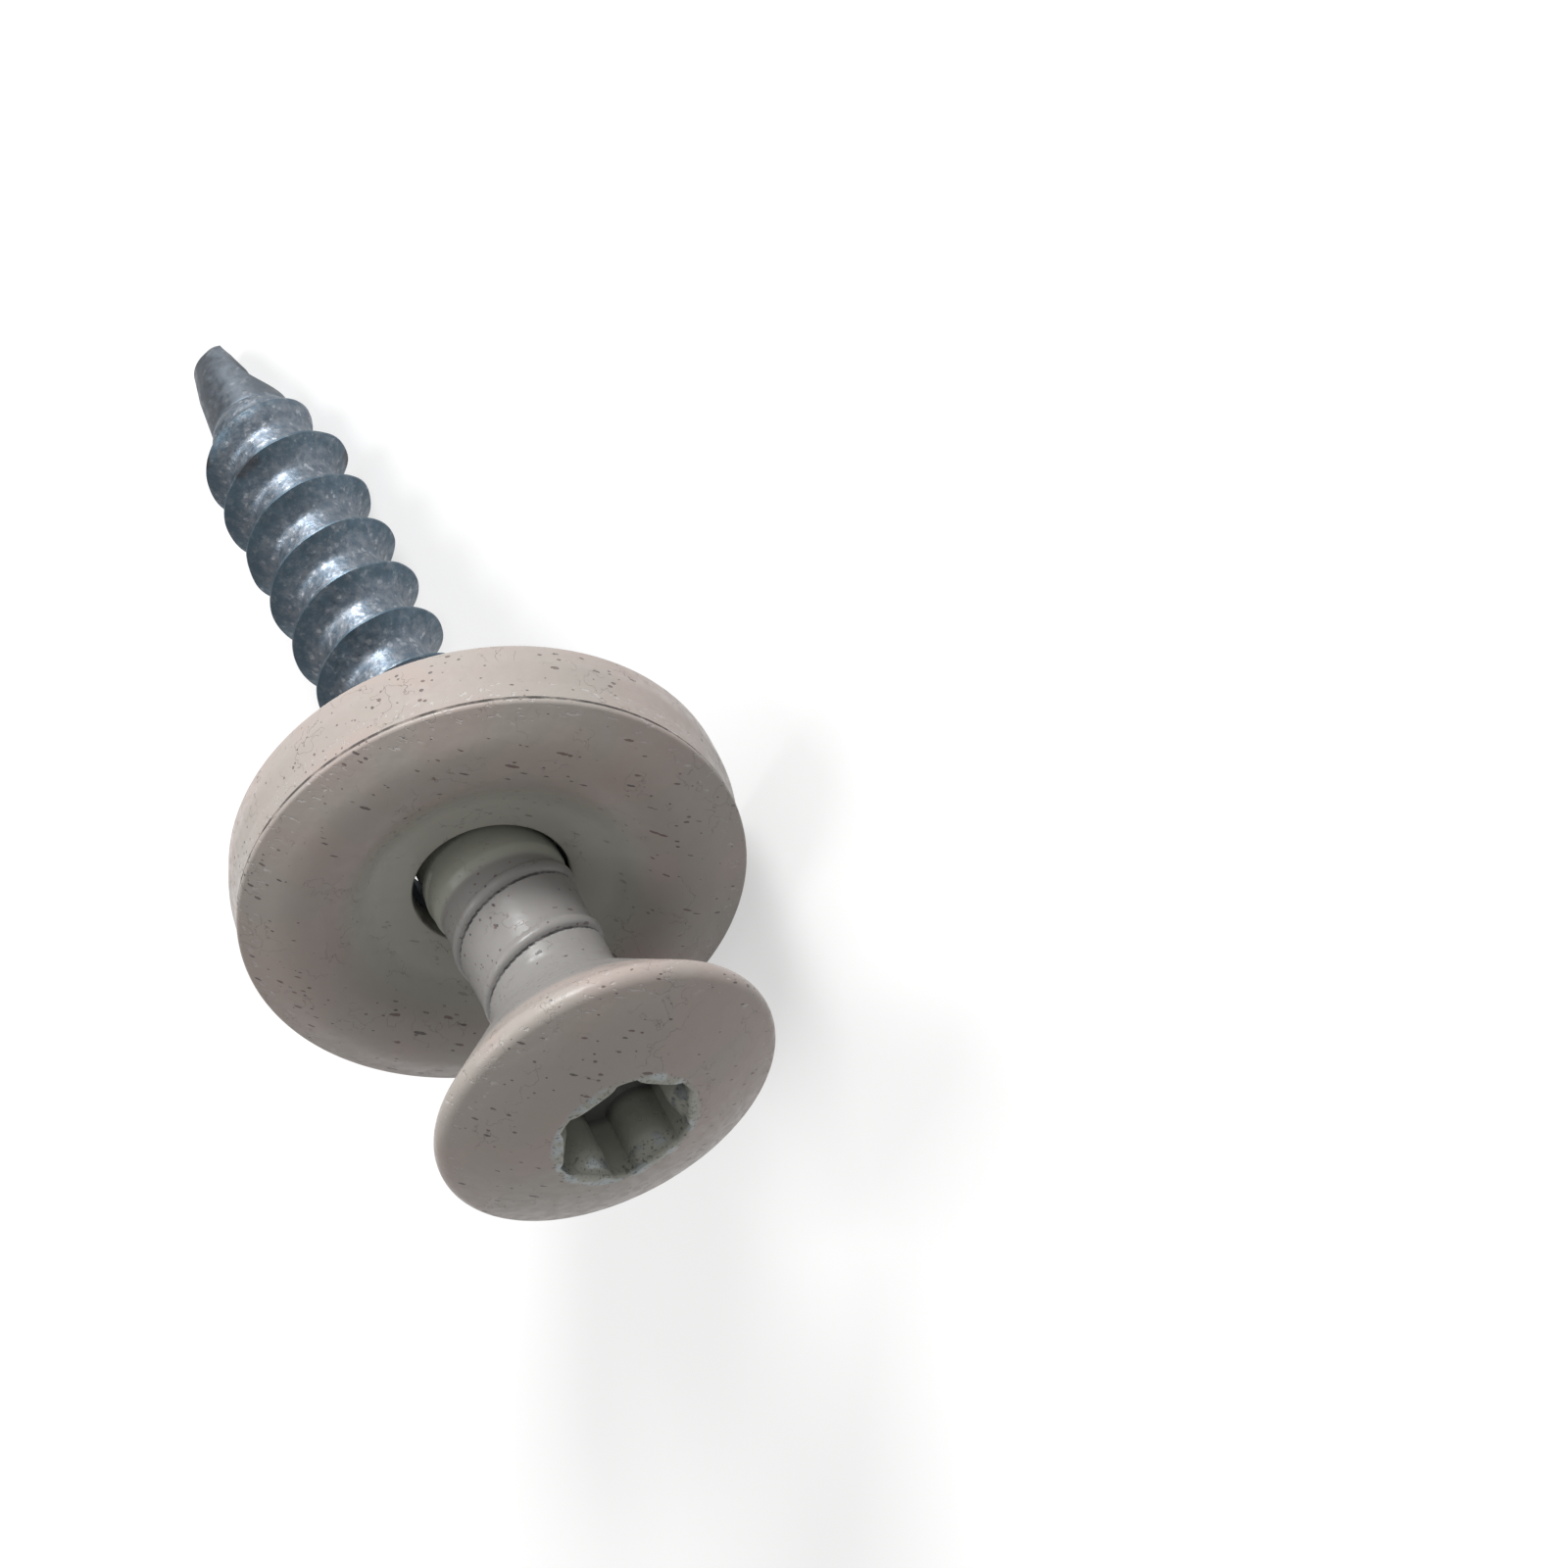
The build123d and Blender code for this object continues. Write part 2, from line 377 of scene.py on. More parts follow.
@dataclass
class RoofingScrew:
    """The forged and rolled screw: raised countersunk head, neck, main thread, drill point."""

    seat: Seat
    recess: SixLobeRecess
    head_diameter: float = 11.0
    rim_thickness: float = 0.5
    rim_top_rounding: float = 0.45
    rim_low_rounding: float = 0.48
    lip_ring: float = 2.75
    dome_height: float = 1.75
    neck_diameter: float = 4.2
    neck_fillet: float = 1.6
    neck_start: float = 2.2
    neck_end: float = 11.0
    ridge_height: float = 0.15
    ridge_pitch: float = 2.37
    ridge_low: float = 9.52
    ridge_turns: float = 2.2
    collar_diameter: float = 4.42
    collar_top: float = 8.15
    collar_length: float = 1.7
    collar_rise: float = 0.35
    collar_rounding: float = 0.3
    thread_diameter: float = 4.8
    root_diameter: float = 3.3
    thread_pitch: float = 2.215
    thread_phase: float = 9.74
    thread_top: float = 12.4
    thread_full_top: float = 13.3
    thread_full_bottom: float = 29.2
    flank_to_head: float = 0.72
    flank_to_tip: float = 0.45
    crest_width: float = 0.08
    crest_wander: float = 0.05
    length: float = 35.0
    drill_length: float = 3.9
    drill_diameter: float = 2.9
    point_shoulder: float = 0.4
    tip_radius: float = 0.5
    lip_radius: float = 1.05
    lip_rise: float = 0.7
    land_radius: float = 1.28
    flute_radius: float = 2.5
    flute_web: float = 0.7
    flute_tilt: float = math.radians(9)
    flute_turns: tuple[float, float] = (math.radians(-125), math.radians(100))
    bead_foot: float = 0.08
    bead_width: float = 0.38
    groove_width: float = 0.12
    groove_depth: float = 0.05
    ridge_run_out: float = 0.25
    ring_step: float = 0.045
    head_steps: int = 240
    thread_steps: int = 144

    def dome(self, radius: float) -> float:
        """Height of the dome above the rim plane at a radius, both in millimetres."""
        rise = self.dome_height - self.rim_thickness / 2
        ball = ((self.head_diameter / 2) ** 2 + rise**2) / (2 * rise)
        return self.dome_height - ball + math.sqrt(ball**2 - radius**2)

    def make_recess(self) -> bpy.types.Object:
        """Raises the recess from its cone to the lip, ring by ring.

        Returns:
            The piece in edit mode, with its open ring selected.
        """
        recess = self.recess
        floor = self.dome_height - recess.depth
        tip = floor - recess.cone_depth
        inner = recess.flat_diameter / 2
        deselect_everything()
        bpy.ops.mesh.primitive_circle_add(
            vertices=self.head_steps,
            radius=0.3 * MM,
            fill_type="TRIFAN",
            location=(0, 0, (tip + recess.cone_depth * 0.3 / inner) * MM),
        )
        piece = name_new_piece("screw_body")
        bpy.ops.object.transform_apply(location=True, rotation=False, scale=False)
        bpy.ops.object.mode_set(mode="EDIT")
        select_open_loops()
        for share in (0.4, 0.7, 1.0):
            raise_ring(lambda _, s=share: inner * s * 0.97, lambda _, s=share: tip + recess.cone_depth * s)
        raise_ring(lambda b: recess.wall(b) - 0.06, lambda _: floor)
        raise_ring(lambda b: recess.wall(b) - 0.02, lambda _: floor + 0.02)
        raise_ring(recess.wall, lambda _: floor + 0.07)
        wall_top = self.dome(inner) - recess.lip
        for share in (0.25, 0.5, 0.66, 0.74, 0.82, 0.9):
            below = (wall_top - floor) * (1 - share)
            raise_ring(lambda b, d=below: recess.wall(b, d), lambda _, d=below: wall_top - d)
        for step in range(7):
            angle = math.pi / 2 * step / 6
            out = recess.lip * (1 - math.cos(angle))
            down = recess.lip * (1 - math.sin(angle))
            raise_ring(
                lambda b, o=out: recess.wall(b, 0) + o,
                lambda b, o=out, d=down: self.dome(recess.wall(b, 0) + o) - d,
            )
        return piece

    def make_head(self) -> None:
        """Carries the open ring over the dome and the rim, down the cone to the neck."""
        for step in range(1, 6):
            share = step / 5
            raise_ring(
                lambda b, s=share: self.lip_to_circle(b, s),
                lambda b, s=share: self.dome(self.lip_to_circle(b, s)),
            )
        rim = self.head_diameter / 2
        neck = self.neck_diameter / 2
        half = self.rim_thickness / 2
        dome_line = [(r, self.dome(r)) for r in (3.1, 3.5, 3.9, 4.3)]
        collar = self.collar_diameter / 2
        corners = [
            (4.7, self.dome(4.7)),
            (rim, half),
            (rim, -half),
            (neck, -half - rim + neck),
            (neck, -self.collar_top),
            (collar, -self.collar_top - self.collar_rise),
            (collar, -self.collar_top - self.collar_length + self.collar_rise),
            (neck, -self.collar_top - self.collar_length),
            (neck, -self.neck_end),
        ]
        radii = dict.fromkeys(range(4, 8), self.collar_rounding)
        radii.update({1: self.rim_top_rounding, 2: self.rim_low_rounding, 3: self.neck_fillet})
        outline = dome_line + divided_outline(rounded_outline(corners, radii), 0.3)
        for radius, height in outline:
            if height > -self.neck_start:
                raise_ring(lambda _, r=radius: r, lambda _, h=height: h)
        self.make_neck(outline)

    def lip_to_circle(self, bearing: float, share: float) -> float:
        """Radius of a ring between the recess's lip and the circle round it."""
        start = self.recess.wall(bearing, 0) + self.recess.lip
        return start + (self.lip_ring - start) * share

    def make_neck(self, outline: Sequence[Point]) -> None:
        """Draws the neck down from the cone, with the supporting thread on it.

        Args:
            outline: The turned outline of head and neck, which gives the neck's own radius.
        """
        falling = [point for point in outline if point[1] <= 0.3 - self.neck_start]
        height = -self.neck_start
        while height > -self.neck_end:
            radius = self.outline_radius(falling, height)
            raise_ring(lambda b, r=radius, h=height: self.ridged(r, b, h), lambda _, h=height: h)
            height -= self.ring_step
        raise_ring(lambda _: self.neck_diameter / 2, lambda _: -self.neck_end)

    def ridged(self, radius: float, bearing: float, height: float) -> float:
        """Radius of the neck with its supporting thread, which sinks into the cone and the collar."""
        neck = self.neck_diameter / 2
        if radius > neck + 0.01:
            return max(radius, neck + self.ridge(bearing, height))
        return radius + self.ridge(bearing, height)

    def outline_radius(self, outline: Sequence[Point], height: float) -> float:
        """Radius of a falling outline at a height, both in millimetres."""
        for (r_top, h_top), (r_low, h_low) in zip(outline, outline[1:]):
            if h_low <= height <= h_top and h_top > h_low:
                return r_low + (r_top - r_low) * (height - h_low) / (h_top - h_low)
        return self.neck_diameter / 2

    def ridge(self, bearing: float, height: float) -> float:
        """How far the supporting thread stands out of the neck.

        Args:
            bearing: Direction about the axis, in radians.
            height: Height on the axis, in millimetres.

        Returns:
            The rise in millimetres.
        """
        rise = 0.0
        low = -self.ridge_low
        for turn in range(-1, 4):
            along = bearing / FULL_TURN + turn
            crest = low + along * self.ridge_pitch
            if not 0 <= along <= self.ridge_turns:
                continue
            ends = min(1, (self.ridge_turns - along) / self.ridge_run_out)
            above = height - crest
            groove_end = self.bead_width + self.groove_width
            if -self.bead_foot <= above <= self.bead_width:
                across = (above + self.bead_foot) / (self.bead_width + self.bead_foot)
                rise += ends * self.ridge_height * math.sin(math.pi * across) ** 0.5
            elif self.bead_width < above <= groove_end:
                across = (above - self.bead_width) / self.groove_width
                rise -= ends * self.groove_depth * math.sin(math.pi * across)
            elif groove_end < above < self.ridge_pitch - self.bead_foot:
                rise += ends * self.ridge_height * 0.3 * (1 - above / self.ridge_pitch)
        return rise

    def core(self, depth: float) -> float:
        """Radius of the screw without its thread, by the distance below the rim plane."""
        neck = self.neck_diameter / 2
        root = self.root_diameter / 2
        drill_top = self.length - self.drill_length
        if depth <= self.thread_top:
            return neck
        if depth <= self.thread_full_top:
            share = (depth - self.thread_top) / (self.thread_full_top - self.thread_top)
            return neck + (root - neck) * share
        if depth <= drill_top - self.point_shoulder:
            return root
        share = (depth - drill_top + self.point_shoulder) / self.point_shoulder
        return root + (self.drill_diameter / 2 - root) * min(share, 1)

    def thread_share(self, depth: float) -> float:
        """How much of the thread's full height stands, by the distance below the rim plane."""
        drill_top = self.length - self.drill_length
        if depth < self.thread_full_top:
            return max(0, (depth - self.thread_top) / (self.thread_full_top - self.thread_top))
        if depth > self.thread_full_bottom:
            return max(0, (drill_top - depth) / (drill_top - self.thread_full_bottom))
        return 1

    def make_thread(self) -> bpy.types.Object:
        """Turns one pitch of the thread's outline up the axis and trims both ends.

        Returns:
            The threaded rod, open at both ends, in object mode.
        """
        crest = self.thread_diameter / 2
        root = self.root_diameter / 2
        half = self.crest_width / 2
        next_crest = self.thread_pitch
        corners = [
            (crest, 0),
            (crest, half),
            (root, self.flank_to_head),
            (root, next_crest - self.flank_to_tip),
            (crest, next_crest - half),
            (crest, next_crest),
        ]
        outline = divided_outline(rounded_outline(corners, {2: 0.5, 3: 0.3}, 5), 0.3)
        turns = math.ceil((self.length - self.drill_length - self.thread_phase) / self.thread_pitch) + 1
        low = -self.thread_phase - turns * self.thread_pitch
        piece = draw_outline("thread", [(radius, height + low) for radius, height in outline])
        bpy.ops.object.mode_set(mode="OBJECT")
        screw = piece.modifiers.new("turns", "SCREW")
        screw.axis = "Z"
        screw.angle = FULL_TURN
        screw.screw_offset = self.thread_pitch * MM
        screw.iterations = turns
        screw.steps = self.thread_steps
        screw.render_steps = self.thread_steps
        screw.use_merge_vertices = True
        screw.merge_threshold = WELD
        apply_modifiers(piece)
        bpy.ops.object.mode_set(mode="EDIT")
        weld_and_face_out()
        cut_across(-self.length + self.drill_length, Keep.ABOVE)
        cut_across(-self.neck_end - 0.05, Keep.BELOW)
        bpy.ops.object.mode_set(mode="OBJECT")
        for vertex in piece.data.vertices:
            radius = math.hypot(vertex.co.x, vertex.co.y)
            depth = -vertex.co.z / MM
            stand = radius / MM - root
            shaped = self.core(depth) + stand * self.thread_share(depth)
            wander = noise.noise(vertex.co / MM * 0.9) * self.crest_wander * max(stand, 0) / (crest - root)
            grown = (shaped + wander * self.thread_share(depth)) * MM / radius
            vertex.co.x *= grown
            vertex.co.y *= grown
        return piece

    def make_point(self) -> bpy.types.Object:
        """Raises the plain drill point from its chisel end to the thread.

        Returns:
            The point, open at the top, in object mode.
        """
        top = -self.length + self.drill_length
        wide = self.drill_diameter / 2
        deselect_everything()
        bpy.ops.mesh.primitive_circle_add(
            vertices=self.thread_steps,
            radius=self.tip_radius / 4 * MM,
            fill_type="TRIFAN",
            location=(0, 0, -self.length * MM),
        )
        piece = name_new_piece("point")
        bpy.ops.object.transform_apply(location=True, rotation=False, scale=False)
        bpy.ops.object.mode_set(mode="EDIT")
        select_open_loops()
        corners = [
            (self.tip_radius / 4, -self.length),
            (self.tip_radius, -self.length + 0.1),
            (self.lip_radius, -self.length + self.lip_rise),
            (self.land_radius, -self.length + self.drill_length / 2),
            (wide, top - 0.1),
        ]
        side = divided_outline(rounded_outline(corners, {1: 0.04, 2: 0.2, 3: 0.8}, 5), 0.15)
        for radius, height in side[1:]:
            raise_ring(lambda _, r=radius: r, lambda _, h=height: h)
        raise_ring(lambda _: wide, lambda _: top - 0.02)
        bpy.ops.object.mode_set(mode="OBJECT")
        return piece

    def make_flute_cutter(self, turn: float) -> bpy.types.Object:
        """Makes the round-ended rod that cuts one flute.

        Args:
            turn: Direction of the flute about the axis, in radians.

        Returns:
            The cutter.
        """
        deselect_everything()
        bpy.ops.mesh.primitive_cylinder_add(
            vertices=96,
            radius=self.flute_radius * MM,
            depth=self.drill_length * MM,
        )
        cutter = name_new_piece("flute_cutter")
        bpy.ops.object.mode_set(mode="EDIT")
        bpy.ops.mesh.select_mode(type="EDGE")
        bpy.ops.mesh.select_all(action="DESELECT")
        shape = bmesh.from_edit_mesh(cutter.data)
        for edge in shape.edges:
            edge.select_set(all(vertex.co.z > 0 for vertex in edge.verts))
        bmesh.update_edit_mesh(cutter.data)
        bpy.ops.mesh.bevel(offset=self.flute_radius * 0.97 * MM, segments=16, profile=0.5)
        bpy.ops.object.mode_set(mode="OBJECT")
        side = Vector((math.cos(turn), math.sin(turn), 0))
        run = Matrix.Rotation(self.flute_tilt, 3, side) @ Vector((0, 0, 1))
        reach = self.flute_radius + self.flute_web / 2
        drill_top = -self.length + self.drill_length
        end = Vector((0, 0, drill_top - self.flute_radius)) + side * reach
        middle = end + run * (self.flute_radius - self.drill_length / 2)
        turned = Matrix((side, run.cross(side), run)).transposed().to_4x4()
        cutter.matrix_world = Matrix.Translation(middle * MM) @ turned
        take_up(cutter)
        bpy.ops.object.transform_apply(location=True, rotation=True, scale=True)
        return cutter

    def build(self) -> bpy.types.Object:
        """Models the whole screw and lays it in its place.

        Returns:
            The finished screw.
        """
        body = self.make_recess()
        self.make_head()
        bpy.ops.object.mode_set(mode="OBJECT")
        thread = self.make_thread()
        point = self.make_point()
        take_up(body)
        thread.select_set(True)
        point.select_set(True)
        bpy.ops.object.join()
        bpy.ops.object.mode_set(mode="EDIT")
        for height in (-self.neck_end, -self.length + self.drill_length):
            self.bridge_at(body, height)
        weld_and_face_out()
        bpy.ops.object.mode_set(mode="OBJECT")
        for turn in self.flute_turns:
            subtract(body, self.make_flute_cutter(turn))
        self.seat.lay(body, "screw", "screw", Slot.SCREW)
        return body

    def bridge_at(self, body: bpy.types.Object, height: float) -> None:
        """Bridges the two open rings near a height, in edit mode."""
        select_open_loops()
        shape = bmesh.from_edit_mesh(body.data)
        for edge in shape.edges:
            if edge.select and abs(edge.verts[0].co.z / MM - height) > 0.3:
                edge.select_set(False)
        bmesh.update_edit_mesh(body.data)
        bpy.ops.mesh.bridge_edge_loops()


@dataclass
class SealingWasher:
    """The pressed metal washer and the rubber gasket bonded under it."""

    seat: Seat
    neck: Seat
    diameter: float = 16.0
    hole_diameter: float = 4.95
    seam_height: float = 1.95
    metal: float = 0.8
    crown_diameter: float = 12.4
    crown_height: float = 3.5
    step_diameter: float = 9.0
    step_height: float = 2.65
    hole_edge_height: float = 2.3
    shoulder_rounding: float = 0.15
    crown_rounding: float = 0.9
    roll_middle: float = 5.9
    roll_radius: float = 2.4
    roll_apex: float = 3.9
    dish_radius: float = 3.95
    crease_height: float = 2.85
    crease_groove: float = 0.06
    step_rounding: float = 1.4
    bore_diameter: float = 5.2
    hug_radius: float = 2.26
    bore_squeeze: float = 0.05
    gasket_bulge: float = 0.15
    gasket_inset: float = 0.1
    gasket_rounding: float = 0.3
    band_width: float = 1.7
    seal_recess: float = 0.2
    bore_recess: float = 0.1
    steps: int = 240

    def underside(self) -> list[Point]:
        """Returns the underside of the metal, from its outer edge in to the hole."""
        edge = self.diameter / 2
        crown = self.crown_diameter / 2
        corners = [
            (edge, self.seam_height),
            (crown + self.metal, self.seam_height),
            (crown, self.crown_height - self.metal),
            (self.step_diameter / 2, self.step_height - self.metal),
            (self.hole_diameter / 2, self.hole_edge_height - self.metal),
        ]
        radii = {1: self.crown_rounding / 2, 2: self.crown_rounding, 3: self.step_rounding}
        return rounded_outline(corners, radii)

    def spin_outline(self, name: str, outline: Sequence[Point]) -> bpy.types.Object:
        """Spins a closed outline into a ring.

        Args:
            name: The piece's name.
            outline: Radius and height of each point, in millimetres.

        Returns:
            The ring, in object mode.
        """
        piece = draw_outline(name, list(outline) + [outline[0]])
        bpy.ops.mesh.select_all(action="SELECT")
        bpy.ops.mesh.remove_doubles(threshold=WELD)
        bpy.ops.mesh.select_all(action="SELECT")
        bpy.ops.mesh.spin(steps=self.steps, angle=FULL_TURN, center=(0, 0, 0), axis=(0, 0, 1))
        weld_and_face_out()
        bpy.ops.object.mode_set(mode="OBJECT")
        return piece

    def build_metal(self) -> bpy.types.Object:
        """Makes the pressed metal washer and lays it in its place."""
        edge = self.diameter / 2
        hole = self.hole_diameter / 2
        crease = self.crease_height
        lip = 0.12
        top = rounded_outline(
            [
                (hole, self.hole_edge_height - self.metal / 2),
                (hole, self.hole_edge_height),
                (self.dish_radius, self.step_height - 0.05),
                (self.roll_middle, self.roll_apex),
                (edge + 0.02, crease),
                (edge + 0.02, crease - self.crease_groove * 2),
                (edge - self.crease_groove, crease - self.crease_groove * 3),
                (edge, crease - self.crease_groove * 4),
                (edge, self.seam_height),
                (edge - 0.3, self.seam_height),
            ],
            {1: lip, 2: self.step_rounding, 3: self.roll_radius, 4: self.shoulder_rounding},
            14,
        )
        under = self.underside()
        piece = self.spin_outline("washer_cap", divided_outline(top + under[1:], 0.35))
        self.seat.lay(piece, "washer", "metal_washer", Slot.WASHER)
        return piece

    def build_gasket(self) -> bpy.types.Object:
        """Makes the rubber gasket and lays it in its place."""
        edge = self.diameter / 2
        outer = edge - self.gasket_inset
        bore = self.bore_diameter / 2
        band = outer - self.band_width
        under = [point for point in self.underside() if point[0] > bore]
        top_at_bore = self.hole_edge_height - self.metal
        side = rounded_outline(
            [
                (edge - 0.3, self.seam_height),
                (edge, self.seam_height),
                (outer + self.gasket_bulge, (self.seam_height + self.gasket_rounding) / 2),
                (outer, 0),
                (band, 0),
                (band - self.seal_recess, self.seal_recess),
                (bore + self.bore_squeeze, self.seal_recess + self.bore_recess),
                (bore, self.seal_recess + self.bore_recess + self.bore_squeeze),
                (bore, top_at_bore),
            ],
            {2: 2.2, 3: self.gasket_rounding, 4: 0.08, 5: 0.15, 6: 0.12, 7: 0.12},
            8,
        )
        outline = divided_outline(side + list(reversed(under))[:-1], 0.35)
        piece = self.spin_outline("gasket_ring", outline)
        self.hug_neck(piece)
        self.seat.lay(piece, "washer", "sealing_gasket", Slot.GASKET)
        return piece

    def hug_neck(self, piece: bpy.types.Object) -> None:
        """Presses the bore of the upright gasket round the neck, which passes through it aslant."""
        to_washer = self.seat.matrix().inverted()
        foot = to_washer @ self.neck.origin
        along = to_washer.to_3x3() @ self.neck.axis
        bore = self.bore_diameter / 2 * MM
        for vertex in piece.data.vertices:
            radius = math.hypot(vertex.co.x, vertex.co.y)
            share = min(max(1.04 - radius / bore, 0) / 0.04, 1)
            near = foot + along * (vertex.co - foot).dot(along)
            out = (vertex.co - near).normalized() * self.hug_radius * MM
            vertex.co = vertex.co.lerp(near + out, share)


class NodeBoard:
    """A material's nodes, with short ways to add what the finishes need."""

    dull_shine = 0.28

    def __init__(self, name: str, seat: Seat) -> None:
        """Starts a material whose patterns are centred on a piece's own axis.

        Args:
            name: The material's name.
            seat: Where the piece is laid.
        """
        self.material = bpy.data.materials.new(name)
        self.material.use_nodes = True
        self.tree = self.material.node_tree
        self.shader = self.tree.nodes["Principled BSDF"]
        self.shader.inputs["Specular IOR Level"].default_value = self.dull_shine
        place = self.add("ShaderNodeTexCoord")
        centre = self.add("ShaderNodeMapping")
        centre.vector_type = "TEXTURE"
        centre.inputs["Location"].default_value = seat.origin
        centre.inputs["Rotation"].default_value = seat.matrix().to_euler()
        centre.inputs["Scale"].default_value = (MM, MM, MM)
        self.tree.links.new(place.outputs["Object"], centre.inputs["Vector"])
        self.place = centre.outputs["Vector"]

    def add(self, kind: str) -> bpy.types.Node:
        """Adds a node of a kind."""
        return self.tree.nodes.new(kind)

    def feed(self, node: bpy.types.Node, socket: str | int, value: object) -> None:
        """Links a socket to an input, or sets the input to a value.

        Args:
            node: The node that has the input.
            socket: The input's name or place.
            value: An output socket, a number or a colour.
        """
        if isinstance(value, Socket):
            self.tree.links.new(value, node.inputs[socket])
        else:
            node.inputs[socket].default_value = value

    def turned(self, turn: Triple, stretch: Triple) -> Socket:
        """Turns and stretches the pattern's coordinates."""
        mapping = self.add("ShaderNodeMapping")
        mapping.inputs["Rotation"].default_value = turn
        mapping.inputs["Scale"].default_value = stretch
        self.feed(mapping, "Vector", self.place)
        return mapping.outputs["Vector"]

    def noise(
        self, scale: float, detail: float = 2, place: object = None, roughness: float = 0.5
    ) -> Socket:
        """Adds soft noise.

        Args:
            scale: Waves to a millimetre.
            detail: Number of finer layers.
            place: The coordinates, if not the piece's own.
            roughness: Strength of the finer layers.

        Returns:
            The noise, from 0 to 1.
        """
        node = self.add("ShaderNodeTexNoise")
        self.feed(node, "Vector", place or self.place)
        self.feed(node, "Scale", scale)
        self.feed(node, "Detail", detail)
        self.feed(node, "Roughness", roughness)
        return node.outputs["Fac"]

    def grains(self, scale: float, place: object = None) -> tuple[Socket, Socket]:
        """Adds scattered grains.

        Args:
            scale: Grains to a millimetre.
            place: The coordinates, if not the piece's own.

        Returns:
            The distance from the nearest grain, and that grain's own random colour.
        """
        node = self.add("ShaderNodeTexVoronoi")
        self.feed(node, "Vector", place or self.place)
        self.feed(node, "Scale", scale)
        return node.outputs["Distance"], node.outputs["Color"]

    def sum(self, operation: str, first: object, second: object = 0.0) -> Socket:
        """Adds a sum such as ADD or MULTIPLY."""
        node = self.add("ShaderNodeMath")
        node.operation = operation
        self.feed(node, 0, first)
        self.feed(node, 1, second)
        return node.outputs[0]

    def step(
        self, value: object, low: float, high: float, start: float = 0.0, end: float = 1.0
    ) -> Socket:
        """Maps a value smoothly from one range to another.

        Args:
            value: The value.
            low: Where the change starts.
            high: Where the change ends.
            start: The result at low.
            end: The result at high.

        Returns:
            The mapped value.
        """
        node = self.add("ShaderNodeMapRange")
        node.interpolation_type = "SMOOTHSTEP"
        for socket, number in enumerate((value, low, high, start, end)):
            self.feed(node, socket, number)
        return node.outputs["Result"]

    def blend(self, share: object, first: object, second: object) -> Socket:
        """Blends two colours."""
        node = self.add("ShaderNodeMix")
        node.data_type = "RGBA"
        self.feed(node, 0, share)
        self.feed(node, 6, first)
        self.feed(node, 7, second)
        return node.outputs[2]

    def between(self, share: object, first: object, second: object) -> Socket:
        """Blends two numbers."""
        node = self.add("ShaderNodeMix")
        node.data_type = "FLOAT"
        self.feed(node, 0, share)
        self.feed(node, 2, first)
        self.feed(node, 3, second)
        return node.outputs[0]

    def axis_height(self) -> Socket:
        """Returns the height along the piece's axis, in millimetres."""
        node = self.add("ShaderNodeSeparateXYZ")
        self.feed(node, 0, self.place)
        return node.outputs["Z"]

    def axis_radius(self) -> Socket:
        """Returns the distance from the piece's axis, in millimetres."""
        flat = self.turned((0, 0, 0), (1, 1, 0))
        node = self.add("ShaderNodeVectorMath")
        node.operation = "LENGTH"
        self.feed(node, 0, flat)
        return node.outputs["Value"]

    def relief(self, height: object, depth: float) -> None:
        """Gives the surface its fine relief.

        Args:
            height: The relief, from 0 to 1 and beyond.
            depth: Its depth in millimetres for a height of 1.
        """
        node = self.add("ShaderNodeBump")
        node.inputs["Strength"].default_value = 1.0
        node.inputs["Distance"].default_value = depth * MM
        self.feed(node, "Height", height)
        self.tree.links.new(node.outputs["Normal"], self.shader.inputs["Normal"])


@dataclass(frozen=True)
class Layer:
    """One finish on a board: its colour, roughness and relief."""

    colour: object
    roughness: object
    relief: object


@dataclass(frozen=True)
class SpeckLayer:
    """Specks of one kind: how they lie, how many to a millimetre, and the largest one."""

    turn: Triple
    stretch: Triple
    scale: float
    largest: float


